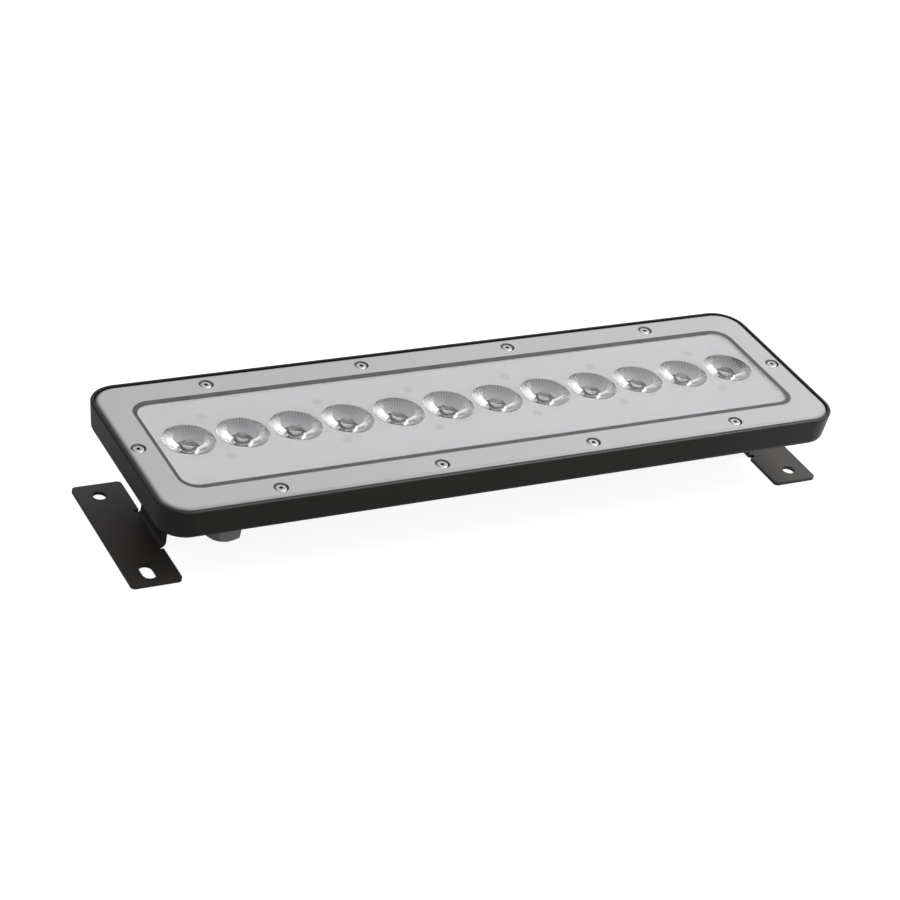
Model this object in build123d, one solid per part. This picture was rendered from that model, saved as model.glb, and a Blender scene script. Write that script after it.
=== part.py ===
"""Outdoor wall washer light: a shallow cast tray on two Z-shaped feet.

The light shines upwards (+Z).  X runs along the row of twelve lenses, Y across
it (the front is -Y).  The origin is the middle of the plane the feet stand on.
All sizes are in millimetres.
"""
from build123d import *
import math
import os

# ---------------------------------------------------------------- body tray
body_length = 500.0
body_width = 147.0
body_height = 22.0
body_corner_radius = 21.0
wall_lean = 2.4              # how far the outer wall leans in from rim to floor
rim_width = 2.5              # black rim that shows round the cover frame
rim_edge_radius = 1.2
floor_edge_radius = 5.0
floor_thickness = 3.5
ledge_width = 5.8            # seat of the tray seal, round the cavity

# cooling fins cast on the underside
fin_count = 9
fin_pitch = 12.0
fin_thickness = 3.0
fin_height = 7.0
fin_edge_radius = 1.0
fin_gland_gap = 12.0         # the fins stop this far short of the gland's gasket

# ---------------------------------------------------------------- cover frame
frame_thickness = 5.0
frame_side_bar = 20.7        # bar along the front and the back
frame_end_bar = 19.2         # bar at the left and the right
frame_edge_radius = 3.0
opening_corner_radius = 13.5
frame_gap = 0.3              # between the frame and the rim round it

# ---------------------------------------------------------------- lens plate
seal_lip_side = 4.2          # dark seal band that shows, front and back
seal_lip_end = 2.6           # the same band at the left and the right
window_corner_radius = 10.5
window_recess = 0.3          # plate and seal lie this far below the frame
plate_thickness = 3.0
skirt_thickness = 2.5
flange_reach = 4.5           # how far the plate's flange goes under the frame
flange_thickness = 2.5
flange_gap = 0.3             # between the flange and the tray
seal_flange_thickness = 1.0
seal_gap = 0.1
tray_seal_thickness = 1.5
tray_seal_width = 4.0

# lenses moulded in the plate, flush with its top
light_row_y = 4.0            # the row sits behind the middle, which leaves room for the wiring
lens_count = 12
lens_row_margin = 14.5       # from the middle of an end lens to the end of the board
lens_land = 2.6              # flat strip between two lenses
lens_mid_share = 0.765       # radius half way down, as a share of the full one
lens_foot_diameter = 11.2
lens_foot_gap = 0.8          # between a lens and the board
led_recess_diameter = 9.2
led_recess_depth = 7.1
led_recess_bulge = 0.8

# pillars under the plate, which stand on the board and show through as faint spots
pillar_diameter = 7.0
pillar_stations = (-5.0, -2.81, -1.0, 1.0, 2.81, 5.0)      # along the row, in lens pitches

# ---------------------------------------------------------------- cover screws
screws_per_side = 4
screw_side_distance = 13.0   # the two long rows, from the body's long sides
screw_corner_distance = 81.25    # the first and last screw of a row, from the body's ends
screw_end_distance = 11.0    # the two end screws, from the body's ends
cover_screw_diameter = 4.0
cover_screw_length = 11.0
cover_head_diameter = 7.6
cover_head_height = 2.2
cover_head_edge = 0.7
cover_socket_across = 2.5
cover_socket_depth = 1.3
counterbore_diameter = 10.0
counterbore_depth = 2.6
hole_clearance = 0.25        # radial, round a screw that passes through
thread_clearance = 0.05      # radial, round a screw in its thread
thread_run_out = 1.0         # tapped hole goes on past the end of the screw

# ---------------------------------------------------------------- LED board
board_end_gap = 9.0          # from the board to the cavity's walls
board_side_gap = 22.0
board_thickness = 1.6
board_corner_radius = 3.0
pad_thickness = 0.5
pad_margin = 1.0
board_hole_edge = 4.0        # screws and pillars stand this far in from the board's long sides
board_screw_stations = (-4, -2, 0, 2, 4)     # along the row, in lens pitches
board_screw_diameter = 3.0
board_screw_length = 4.6
board_head_diameter = 5.6
board_head_height = 1.8
led_size = 3.5
led_base_height = 0.7
led_dome_radius = 1.6
chip_length = 6.0
chip_width = 4.0
chip_height = 1.5
chip_count = 3
chip_edge = 5.5              # from the board's front edge to the middle of a chip
terminal_length = 12.0
terminal_width = 7.0
terminal_height = 6.5
terminal_poles = 3
terminal_hole_diameter = 2.4
terminal_station = -4.5      # along the row, in lens pitches
terminal_edge = 4.5          # from the board's front edge to the middle of the block

# protective earth point inside the tray
earth_end_distance = 55.0    # from the body's right-hand end
earth_side_distance = 34.5   # from the body's back
earth_boss_diameter = 10.0
earth_boss_height = 3.0
earth_screw_diameter = 4.0
earth_screw_length = 5.6
earth_head_diameter = 8.0
earth_head_height = 2.4
earth_washer_diameter = 9.0
earth_washer_thickness = 0.8

# ---------------------------------------------------------------- cable gland
gland_end_distance = 55.0    # from the body's left-hand end
gland_pad_gap = 6.5          # from the gasket to the bracket's pad
gland_thread_diameter = 20.0
gland_thread_length = 9.5
gland_across_flats = 24.0
gland_hex_height = 5.0
gland_bore_diameter = 12.4
gland_sleeve_diameter = 17.6
gland_sleeve_length = 11.0
gland_gasket_thickness = 1.5
gland_gasket_diameter = 26.0
gland_boss_diameter = 25.0
gland_boss_height = 6.0
gland_nut_height = 14.5
gland_nut_taper = 3.0
gland_nut_gap = 0.3
gland_nut_face = 1.8
gland_nut_mouth_diameter = 13.2
cable_seal_outer_diameter = 12.2
cable_seal_bore_diameter = 10.5
cable_seal_length = 9.0
gland_fit = 0.15

# ---------------------------------------------------------------- brackets
bracket_height = 40.0        # from the floor to the pad it is screwed to
bracket_sheet = 2.5
bracket_bend_radius = 2.5    # inside radius of both bends
foot_length = 110.0
foot_width = 34.0
foot_corner_radius = 3.0
web_width = 38.0
web_end_distance = 26.0      # from the body's end to the outer face of the upright web
bracket_flange_length = 36.0
relief_width = 3.0
relief_depth = 3.5
foot_hole_diameter = 9.0
foot_slot_length = 15.0
foot_hole_distance = 19.0    # from the web's outer face
foot_hole_offset = 42.3      # from the middle line
bracket_pad_height = 4.0
bracket_pad_margin = 2.0
bracket_pad_radius = 5.0
bracket_screw_diameter = 5.0
bracket_screw_length = 9.6
bracket_head_diameter = 8.5
bracket_head_height = 5.0
bracket_socket_across = 4.0
bracket_socket_depth = 2.5
bracket_screw_spacing = 20.0
bracket_thread_depth = 6.3
washer_diameter = 10.0
washer_thickness = 1.0
spring_washer_diameter = 9.2
spring_washer_thickness = 1.2
spring_washer_split = 1.0

# ---------------------------------------------------------------- levels and derived sizes
floor_z = bracket_height + bracket_pad_height
top_z = floor_z + body_height
frame_bottom_z = top_z - frame_thickness
window_z = top_z - window_recess
flange_top_z = frame_bottom_z - seal_flange_thickness
flange_bottom_z = flange_top_z - flange_thickness
ledge_z = flange_bottom_z - tray_seal_thickness
cavity_z = floor_z + floor_thickness
board_z = cavity_z + pad_thickness
board_top_z = board_z + board_thickness
lens_foot_z = board_top_z + lens_foot_gap
plate_under_z = window_z - plate_thickness

frame_length = body_length - 2 * (rim_width + frame_gap)
frame_width = body_width - 2 * (rim_width + frame_gap)
frame_corner_radius = body_corner_radius - rim_width - frame_gap
opening_length = frame_length - 2 * frame_end_bar
opening_width = frame_width - 2 * frame_side_bar
window_length = opening_length - 2 * seal_lip_end
window_width = opening_width - 2 * seal_lip_side
flange_length = opening_length + 2 * flange_reach
flange_width = opening_width + 2 * flange_reach
flange_corner_radius = opening_corner_radius + flange_reach
recess_length = flange_length + 2 * flange_gap
recess_width = flange_width + 2 * flange_gap
recess_corner_radius = flange_corner_radius + flange_gap
cavity_length = recess_length - 2 * ledge_width
cavity_width = recess_width - 2 * ledge_width
cavity_corner_radius = recess_corner_radius - ledge_width

board_length = cavity_length - 2 * board_end_gap
board_width = cavity_width - 2 * board_side_gap
lens_pitch = (board_length - 2 * lens_row_margin) / (lens_count - 1)
lens_diameter = lens_pitch - lens_land
lens_xs = [(i - (lens_count - 1) / 2) * lens_pitch for i in range(lens_count)]
screw_pitch = (body_length - 2 * screw_corner_distance) / (screws_per_side - 1)
side_screw_xs = [(i - (screws_per_side - 1) / 2) * screw_pitch for i in range(screws_per_side)]
screw_row_offset = body_width / 2 - screw_side_distance
screw_end_offset = body_length / 2 - screw_end_distance
board_row_offset = board_width / 2 - board_hole_edge
board_screw_spots = [(station * lens_pitch, light_row_y + side * board_row_offset)
                     for station in board_screw_stations for side in (-1, 1)]
pillar_spots = [(station * lens_pitch, light_row_y + side * board_row_offset)
                for station in pillar_stations for side in (-1, 1)]
chip_y = light_row_y - board_width / 2 + chip_edge
terminal_x = terminal_station * lens_pitch
terminal_y = light_row_y - board_width / 2 + terminal_edge
earth_x = body_length / 2 - earth_end_distance
earth_y = body_width / 2 - earth_side_distance
gland_x = gland_end_distance - body_length / 2
gland_y = -(web_width / 2 + bracket_pad_margin + gland_pad_gap + gland_gasket_diameter / 2)
fin_length = 2 * (-gland_x - gland_gasket_diameter / 2 - fin_gland_gap)
web_x = body_length / 2 - web_end_distance
bracket_screw_x = web_x - (bracket_sheet + bracket_bend_radius + bracket_flange_length) / 2
foot_hole_x = web_x + foot_hole_distance
gland_top_z = floor_z - gland_gasket_thickness
gland_hex_z = gland_top_z - gland_hex_height
gland_nut_top_z = gland_hex_z - gland_nut_gap
gland_nut_z = gland_nut_top_z - gland_nut_height


# ---------------------------------------------------------------- shared shapes
def slab(length, width, radius, low, high):
    """A flat plate with rounded corners, centred on the origin, from low to high."""
    face = Pos(0, 0, low) * RectangleRounded(length, width, radius)
    return extrude(face, high - low)


def rod(x, y, diameter, low, high):
    """An upright round bar."""
    return Pos(x, y, (low + high) / 2) * Cylinder(diameter / 2, high - low)


def hexagon(x, y, across, low, high):
    """An upright hexagonal bar with a flat to the front."""
    face = Pos(x, y, low) * RegularPolygon(across / math.sqrt(3), 6)
    return extrude(face, high - low)


def edges_at(shape, z, tolerance=0.01):
    """The edges of a shape that lie wholly at one height."""
    level = shape.edges().filter_by_position(Axis.Z, z - tolerance, z + tolerance)
    return level


def group(solids):
    """Like pieces kept as separate solids in one node."""
    return Compound(children=[s.solid() for s in solids])


# ---------------------------------------------------------------- tray
def make_housing():
    """Cast tray: leaning outer wall, frame pocket, seal ledge, cavity, fins and pads."""
    lean_angle = math.degrees(math.atan2(wall_lean, body_height))
    top = Pos(0, 0, top_z) * RectangleRounded(body_length, body_width, body_corner_radius)
    tray = extrude(top, body_height, dir=(0, 0, -1), taper=lean_angle)
    tray = fillet(edges_at(tray, floor_z), floor_edge_radius)
    tray = fillet(edges_at(tray, top_z), rim_edge_radius)
    pocket = (frame_length + 2 * frame_gap, frame_width + 2 * frame_gap, frame_corner_radius + frame_gap)
    tray -= slab(*pocket, frame_bottom_z, top_z + body_height)
    tray -= slab(recess_length, recess_width, recess_corner_radius, ledge_z, top_z)
    tray -= slab(cavity_length, cavity_width, cavity_corner_radius, cavity_z, top_z)
    for i in range(fin_count):
        y = (i - (fin_count - 1) / 2) * fin_pitch
        fin = Pos(0, y, floor_z - fin_height / 2) * Box(fin_length, fin_thickness, fin_height)
        fin = fillet(edges_at(fin, floor_z - fin_height), fin_edge_radius)
        tray += fin
    for side in (-1, 1):
        tray += bracket_pad(side)
    tray += rod(gland_x, gland_y, gland_boss_diameter, floor_z + floor_thickness / 2,
                cavity_z + gland_boss_height)
    tray -= rod(gland_x, gland_y, gland_thread_diameter + 2 * gland_fit, 0, ledge_z)
    tray += rod(earth_x, earth_y, earth_boss_diameter, floor_z + floor_thickness / 2,
                cavity_z + earth_boss_height)
    return tray - tapped_holes()


def bracket_pad(side):
    """Cast pad under one end of the tray, which a bracket's flange lies against."""
    length = bracket_flange_length - bracket_pad_margin
    middle = web_x - bracket_bend_radius - bracket_sheet - length / 2 + bracket_pad_margin
    face = RectangleRounded(length, web_width + 2 * bracket_pad_margin, bracket_pad_radius)
    return extrude(Pos(side * middle, 0, bracket_height) * face, bracket_pad_height + floor_thickness / 2)


def tapped_holes():
    """All the threaded holes of the tray, as one cutter."""
    cutter = None
    cover_bore = cover_screw_diameter + 2 * thread_clearance
    cover_low = top_z - counterbore_depth - cover_screw_length - thread_run_out
    holes = [rod(x, y, cover_bore, cover_low, top_z) for x, y in cover_screw_spots()]
    board_bore = board_screw_diameter + 2 * thread_clearance
    board_low = board_top_z - board_screw_length - thread_run_out / 4
    holes += [rod(x, y, board_bore, board_low, top_z) for x, y in board_screw_spots]
    bracket_bore = bracket_screw_diameter + 2 * thread_clearance
    for side in (-1, 1):
        for y in bracket_screw_ys():
            x = side * bracket_screw_x
            holes.append(rod(x, y, bracket_bore, 0, bracket_height + bracket_thread_depth))
    earth_bore = earth_screw_diameter + 2 * thread_clearance
    earth_top = cavity_z + earth_boss_height
    holes.append(rod(earth_x, earth_y, earth_bore, earth_top - earth_screw_length, top_z))
    for hole in holes:
        cutter = hole if cutter is None else cutter + hole
    return cutter


def cover_screw_spots():
    """Where the ten cover screws stand: front row, back row, left end, right end."""
    front = [(x, -screw_row_offset) for x in side_screw_xs]
    back = [(x, screw_row_offset) for x in side_screw_xs]
    return front + back + [(-screw_end_offset, 0), (screw_end_offset, 0)]


# ---------------------------------------------------------------- cover
def make_cover_frame():
    """Flat cover frame with ten counterbored holes, screwed down into the tray."""
    frame = slab(frame_length, frame_width, frame_corner_radius, frame_bottom_z, top_z)
    frame = fillet(edges_at(frame, top_z), frame_edge_radius)
    frame -= slab(opening_length, opening_width, opening_corner_radius, frame_bottom_z, top_z)
    bore = cover_screw_diameter + 2 * hole_clearance
    for x, y in cover_screw_spots():
        frame -= rod(x, y, bore, frame_bottom_z, top_z)
        frame -= rod(x, y, counterbore_diameter, top_z - counterbore_depth, top_z + counterbore_depth)
    return frame


def cover_screw(x, y):
    """Stainless button-head screw with a hexagon socket."""
    seat = top_z - counterbore_depth
    head_top = seat + cover_head_height
    head = rod(x, y, cover_head_diameter, seat, head_top)
    head = fillet(edges_at(head, head_top), cover_head_edge)
    shank = rod(x, y, cover_screw_diameter, seat - cover_screw_length, seat)
    socket = hexagon(x, y, cover_socket_across, head_top - cover_socket_depth, head_top + cover_head_height)
    return head + shank - socket


def make_window_seal():
    """Soft ring: its lip shows as the dark band, its flange lies on the lens plate's flange."""
    outer = slab(opening_length - 2 * seal_gap, opening_width - 2 * seal_gap,
                 opening_corner_radius - seal_gap, frame_bottom_z, window_z)
    foot = slab(flange_length, flange_width, flange_corner_radius, flange_top_z, frame_bottom_z)
    inner = slab(window_length + 2 * seal_gap, window_width + 2 * seal_gap,
                 window_corner_radius + seal_gap, flange_top_z, window_z)
    return outer + foot - inner


def make_tray_seal():
    """Flat ring between the lens plate's flange and the ledge of the tray."""
    outer = slab(flange_length - 2 * flange_gap, flange_width - 2 * flange_gap,
                 flange_corner_radius - flange_gap, ledge_z, flange_bottom_z)
    shrink = 2 * (flange_gap + tray_seal_width)
    inner = slab(flange_length - shrink, flange_width - shrink,
                 flange_corner_radius - shrink / 2, ledge_z, flange_bottom_z)
    return outer - inner


def lens_body():
    """One lens under the plate, on the origin's axis: a horn with an LED recess in its foot."""
    rim = lens_diameter / 2
    foot = lens_foot_diameter / 2
    middle = (rim * lens_mid_share, 0, (lens_foot_z + plate_under_z) / 2)
    flank = ThreePointArc((foot, 0, lens_foot_z), middle, (rim, 0, plate_under_z))
    edge = Polyline((rim, 0, plate_under_z), (0, 0, plate_under_z),
                    (0, 0, lens_foot_z), (foot, 0, lens_foot_z))
    horn = revolve(make_face([flank, edge]), Axis.Z)
    recess_top = lens_foot_z + led_recess_depth
    recess = rod(0, 0, led_recess_diameter, lens_foot_z - lens_foot_gap, recess_top)
    half = led_recess_diameter / 2
    ball_radius = (half ** 2 + led_recess_bulge ** 2) / (2 * led_recess_bulge)
    ball = Pos(0, 0, recess_top - led_recess_bulge + ball_radius) * Sphere(ball_radius)
    return horn - (recess - ball)


def make_lens_plate():
    """Clear plate with a skirt and flange round it, twelve lenses and the pillars, all one moulding."""
    plate = slab(window_length, window_width, window_corner_radius, flange_bottom_z, window_z)
    plate += slab(flange_length, flange_width, flange_corner_radius, flange_bottom_z, flange_top_z)
    plate -= slab(window_length - 2 * skirt_thickness, window_width - 2 * skirt_thickness,
                  window_corner_radius - skirt_thickness, flange_bottom_z, plate_under_z)
    lens = lens_body()
    for x in lens_xs:
        plate += Pos(x, light_row_y, 0) * lens
    for x, y in pillar_spots:
        plate += rod(x, y, pillar_diameter, board_top_z, plate_under_z)
    return plate


# ---------------------------------------------------------------- board
def make_board():
    """White metal-core board with a hole for each of its screws."""
    board = slab(board_length, board_width, board_corner_radius, board_z, board_top_z)
    board = Pos(0, light_row_y, 0) * board
    for x, y in board_screw_spots:
        board -= rod(x, y, board_screw_diameter + 2 * hole_clearance, board_z, board_top_z)
    return board


def make_thermal_pad():
    """Soft grey sheet that carries the board's heat into the floor of the tray."""
    pad = slab(board_length - 2 * pad_margin, board_width - 2 * pad_margin,
               board_corner_radius, cavity_z, board_z)
    pad = Pos(0, light_row_y, 0) * pad
    for x, y in board_screw_spots:
        pad -= rod(x, y, board_screw_diameter + 2 * hole_clearance, cavity_z, board_z)
    return pad


def led_package(x):
    """One LED: a square ceramic base with a clear dome."""
    base = Pos(x, light_row_y, board_top_z + led_base_height / 2) * Box(led_size, led_size, led_base_height)
    dome = Sphere(led_dome_radius, arc_size1=0, align=(Align.CENTER, Align.CENTER, Align.MIN))
    return base + Pos(x, light_row_y, board_top_z + led_base_height) * dome


def board_screw(x, y):
    """Small pan-head screw that holds the board."""
    head = rod(x, y, board_head_diameter, board_top_z, board_top_z + board_head_height)
    head = fillet(edges_at(head, board_top_z + board_head_height), board_head_height / 3)
    return head + rod(x, y, board_screw_diameter, board_top_z - board_screw_length, board_top_z)


def regulator_chip(i):
    """One current regulator, soldered beside the row of LEDs."""
    x = lens_xs[lens_count // chip_count * i + lens_count // chip_count // 2]
    return Pos(x, chip_y, board_top_z + chip_height / 2) * Box(chip_length, chip_width, chip_height)


def make_terminal_block():
    """Small terminal block on the board, open to the wiring channel in front."""
    block = Pos(terminal_x, terminal_y, board_top_z + terminal_height / 2) * Box(
        terminal_length, terminal_width, terminal_height)
    pole_pitch = terminal_length / terminal_poles
    for i in range(terminal_poles):
        x = terminal_x + (i - (terminal_poles - 1) / 2) * pole_pitch
        wire_hole = Pos(x, terminal_y - terminal_width / 2, board_top_z + terminal_height / 2.5)
        block -= wire_hole * Rot(90, 0, 0) * Cylinder(terminal_hole_diameter / 2, terminal_width)
        top = board_top_z + terminal_height
        block -= rod(x, terminal_y, terminal_hole_diameter, top - terminal_height / 4, top)
    return block


def make_earth_washer():
    """Washer under the head of the earth screw."""
    low = cavity_z + earth_boss_height
    ring = rod(earth_x, earth_y, earth_washer_diameter, low, low + earth_washer_thickness)
    bore = earth_screw_diameter + 2 * hole_clearance
    return ring - rod(earth_x, earth_y, bore, low, low + earth_washer_thickness)


def make_earth_screw():
    """Screw that clamps the protective earth conductor to its boss."""
    seat = cavity_z + earth_boss_height + earth_washer_thickness
    head = rod(earth_x, earth_y, earth_head_diameter, seat, seat + earth_head_height)
    head = fillet(edges_at(head, seat + earth_head_height), earth_head_height / 3)
    slot_depth = earth_head_height / 2
    slot_box = Box(earth_head_diameter, slot_depth, slot_depth)
    head -= Pos(earth_x, earth_y, seat + earth_head_height - slot_depth / 2) * slot_box
    return head + rod(earth_x, earth_y, earth_screw_diameter, seat - earth_screw_length, seat)


# ---------------------------------------------------------------- cable gland
def make_gland_body():
    """Gland body: thread into the tray, hexagon under it, sleeve that takes the nut."""
    body = rod(gland_x, gland_y, gland_thread_diameter, gland_top_z, gland_top_z + gland_thread_length)
    body += hexagon(gland_x, gland_y, gland_across_flats, gland_hex_z, gland_top_z)
    body += rod(gland_x, gland_y, gland_sleeve_diameter, gland_hex_z - gland_sleeve_length, gland_hex_z)
    return body - rod(gland_x, gland_y, gland_bore_diameter, 0, top_z)


def make_gland_nut():
    """Dome nut: hexagon that tapers to a round mouth for the cable."""
    nut = hexagon(gland_x, gland_y, gland_across_flats, gland_nut_z, gland_nut_top_z)
    wide = gland_across_flats / math.sqrt(3)
    mouth = gland_across_flats / 2 - gland_nut_taper / 2
    turned = Pos(gland_x, gland_y, gland_nut_z + gland_nut_taper / 2) * Cone(mouth, wide, gland_nut_taper)
    straight = rod(gland_x, gland_y, 2 * wide, gland_nut_z + gland_nut_taper, gland_nut_top_z)
    nut = nut & (turned + straight)
    bore = gland_sleeve_diameter + 2 * gland_fit
    nut -= rod(gland_x, gland_y, bore, gland_nut_z + gland_nut_face, gland_nut_top_z)
    return nut - rod(gland_x, gland_y, gland_nut_mouth_diameter, 0, gland_nut_top_z)


def make_cable_seal():
    """Rubber sleeve in the mouth of the gland, which grips the cable."""
    low = gland_hex_z - gland_sleeve_length
    seal = rod(gland_x, gland_y, cable_seal_outer_diameter, low, low + cable_seal_length)
    return seal - rod(gland_x, gland_y, cable_seal_bore_diameter, low, low + cable_seal_length)


def make_gland_gasket():
    """Flat rubber ring between the gland and the underside of the tray."""
    ring = rod(gland_x, gland_y, gland_gasket_diameter, gland_top_z, floor_z)
    return ring - rod(gland_x, gland_y, gland_thread_diameter + 2 * gland_fit, gland_top_z, floor_z)


# ---------------------------------------------------------------- brackets
def bracket_screw_ys():
    """The two screws of a bracket's flange, across the tray."""
    return (-bracket_screw_spacing / 2, bracket_screw_spacing / 2)


def bracket():
    """Z-shaped bracket bent from sheet: foot outwards, web upright, flange inwards (right-hand end)."""
    inside = bracket_bend_radius
    outside = bracket_bend_radius + bracket_sheet
    inner_face = web_x - bracket_sheet
    foot_end = web_x + foot_width
    flange_end = web_x - bracket_flange_length
    top = bracket_height
    turn = math.sqrt(0.5)
    low_in = (web_x + inside - inside * turn, 0, bracket_sheet + inside - inside * turn)
    low_out = (inner_face + outside - outside * turn, 0, outside - outside * turn)
    high_in = (inner_face - inside + inside * turn, 0, top - bracket_sheet - inside + inside * turn)
    high_out = (web_x - outside + outside * turn, 0, top - outside + outside * turn)
    outline = [
        Line((foot_end, 0, 0), (inner_face + outside, 0, 0)),
        ThreePointArc((inner_face + outside, 0, 0), low_out, (inner_face, 0, outside)),
        Line((inner_face, 0, outside), (inner_face, 0, top - bracket_sheet - inside)),
        ThreePointArc((inner_face, 0, top - bracket_sheet - inside), high_in,
                      (inner_face - inside, 0, top - bracket_sheet)),
        Line((inner_face - inside, 0, top - bracket_sheet), (flange_end, 0, top - bracket_sheet)),
        Line((flange_end, 0, top - bracket_sheet), (flange_end, 0, top)),
        Line((flange_end, 0, top), (web_x - outside, 0, top)),
        ThreePointArc((web_x - outside, 0, top), high_out, (web_x, 0, top - outside)),
        Line((web_x, 0, top - outside), (web_x, 0, bracket_sheet + inside)),
        ThreePointArc((web_x, 0, bracket_sheet + inside), low_in, (web_x + inside, 0, bracket_sheet)),
        Line((web_x + inside, 0, bracket_sheet), (foot_end, 0, bracket_sheet)),
        Line((foot_end, 0, bracket_sheet), (foot_end, 0, 0)),
    ]
    strip = extrude(make_face(outline), web_width / 2, dir=(0, 1, 0), both=True)
    foot_face = Pos(web_x + foot_width / 2, 0, 0) * RectangleRounded(foot_width, foot_length, foot_corner_radius)
    foot = extrude(foot_face, bracket_sheet)
    bend_zone = Box(2 * relief_depth, web_width + 2 * relief_width, 3 * bracket_sheet)
    foot -= Pos(web_x, 0, 0) * bend_zone
    sheet = strip + foot
    for y in bracket_screw_ys():
        bore = bracket_screw_diameter + 2 * hole_clearance
        sheet -= rod(bracket_screw_x, y, bore, top - 2 * bracket_sheet, top)
    sheet -= rod(foot_hole_x, -foot_hole_offset, foot_hole_diameter, 0, bracket_sheet)
    slot = Pos(foot_hole_x, foot_hole_offset, 0) * Rot(0, 0, 90) * SlotOverall(
        foot_slot_length, foot_hole_diameter)
    return sheet - extrude(slot, bracket_sheet)


def bracket_screw(y):
    """Socket-head screw that holds a bracket, put in from below (right-hand end)."""
    seat = bracket_height - bracket_sheet - washer_thickness - spring_washer_thickness
    low = seat - bracket_head_height
    head = rod(bracket_screw_x, y, bracket_head_diameter, low, seat)
    socket = hexagon(bracket_screw_x, y, bracket_socket_across, low - 1, low + bracket_socket_depth)
    shank = rod(bracket_screw_x, y, bracket_screw_diameter, seat, seat + bracket_screw_length)
    return head - socket + shank


def flat_washer(y):
    """Plain washer against a bracket's flange."""
    high = bracket_height - bracket_sheet
    ring = rod(bracket_screw_x, y, washer_diameter, high - washer_thickness, high)
    bore = bracket_screw_diameter + 2 * hole_clearance
    return ring - rod(bracket_screw_x, y, bore, high - washer_thickness, high)


def spring_washer(y):
    """Split spring washer, drawn clamped flat, between the plain washer and the screw head."""
    high = bracket_height - bracket_sheet - washer_thickness
    low = high - spring_washer_thickness
    ring = rod(bracket_screw_x, y, spring_washer_diameter, low, high)
    ring -= rod(bracket_screw_x, y, bracket_screw_diameter + 2 * hole_clearance, low, high)
    gap = Box(spring_washer_diameter, spring_washer_split, spring_washer_thickness)
    return ring - Pos(bracket_screw_x + spring_washer_diameter / 2, y, (low + high) / 2) * gap


def at_end(shape, side):
    """The shape at the right-hand end, or turned half round Z for the left-hand end."""
    return shape if side > 0 else Rot(0, 0, 180) * shape


# ---------------------------------------------------------------- nodes
def make_nodes():
    """Every node of the light, by name."""
    spots = cover_screw_spots()
    nodes = {
        "housing": make_housing(),
        "cover_frame": make_cover_frame(),
        "lens_plate": make_lens_plate(),
        "window_seal": make_window_seal(),
        "tray_seal": make_tray_seal(),
        "cover_screws_front": group([cover_screw(*s) for s in spots[:screws_per_side]]),
        "cover_screws_back": group([cover_screw(*s) for s in spots[screws_per_side:-2]]),
        "cover_screw_left": cover_screw(*spots[-2]),
        "cover_screw_right": cover_screw(*spots[-1]),
        "led_board": make_board(),
        "thermal_pad": make_thermal_pad(),
        "led_packages": group([led_package(x) for x in lens_xs]),
        "regulator_chips": group([regulator_chip(i) for i in range(chip_count)]),
        "terminal_block": make_terminal_block(),
        "board_screws": group([board_screw(*s) for s in board_screw_spots]),
        "earth_screw": make_earth_screw(),
        "earth_washer": make_earth_washer(),
        "gland_body": make_gland_body(),
        "gland_nut": make_gland_nut(),
        "gland_cable_seal": make_cable_seal(),
        "gland_gasket": make_gland_gasket(),
    }
    screws = [bracket_screw(y) for y in bracket_screw_ys()]
    washers = [flat_washer(y) for y in bracket_screw_ys()]
    spring_washers = [spring_washer(y) for y in bracket_screw_ys()]
    for name, side in (("left", -1), ("right", 1)):
        nodes["bracket_" + name] = at_end(bracket(), side)
        nodes["bracket_screws_" + name] = group([at_end(s, side) for s in screws])
        nodes["bracket_washers_" + name] = group([at_end(s, side) for s in washers])
        nodes["spring_washers_" + name] = group([at_end(s, side) for s in spring_washers])
    return nodes


os.makedirs("parts", exist_ok=True)
for node, shape in make_nodes().items():
    export_step(shape, f"parts/{node}.step")
    print(node, len(shape.solids()), round(shape.volume, 1))
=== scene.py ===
"""Looks of an outdoor wall washer light: a shallow black tray with a row of twelve lenses.

The camera and the studio come first.  After them every section is one piece,
or one group of like pieces, in the order in which the light is put together.
All lengths are in metres; the light stands on z = 0 and its length runs along x.
"""
import bmesh
import bpy
import numpy as np
from mathutils import Matrix, Vector


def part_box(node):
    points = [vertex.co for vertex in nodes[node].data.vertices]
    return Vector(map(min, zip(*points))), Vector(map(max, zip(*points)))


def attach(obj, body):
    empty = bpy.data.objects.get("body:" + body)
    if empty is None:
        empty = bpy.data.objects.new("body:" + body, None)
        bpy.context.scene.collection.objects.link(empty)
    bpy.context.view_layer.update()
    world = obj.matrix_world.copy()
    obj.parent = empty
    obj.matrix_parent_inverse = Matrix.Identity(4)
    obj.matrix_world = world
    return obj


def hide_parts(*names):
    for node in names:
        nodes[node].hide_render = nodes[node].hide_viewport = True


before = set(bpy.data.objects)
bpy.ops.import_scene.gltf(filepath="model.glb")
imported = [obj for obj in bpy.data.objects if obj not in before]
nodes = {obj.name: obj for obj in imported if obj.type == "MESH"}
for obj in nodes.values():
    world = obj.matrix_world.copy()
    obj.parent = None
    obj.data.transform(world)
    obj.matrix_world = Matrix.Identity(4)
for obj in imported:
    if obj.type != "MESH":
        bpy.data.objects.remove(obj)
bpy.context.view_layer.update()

# ---------------------------------------------------------------- camera
# A long lens from the front left, well above the light, turned a little so
# that the row of lenses climbs towards the right of the picture.
focal_length = 100.03                                 # in millimetres, as is the film's width
film_width = 36.0
nearest_seen = 0.05
camera_place = (-0.78294, -1.184208, 0.917723)
camera_right = Vector((0.878229, -0.450523, 0.160445))
camera_up = Vector((0.125739, 0.541210, 0.831433))
camera_data = bpy.data.cameras.new("camera")
camera_data.sensor_width = film_width
camera_data.lens = focal_length
camera_data.clip_start = nearest_seen
camera = bpy.data.objects.new("camera", camera_data)
bpy.context.scene.collection.objects.link(camera)
camera_back = camera_right.cross(camera_up)
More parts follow.
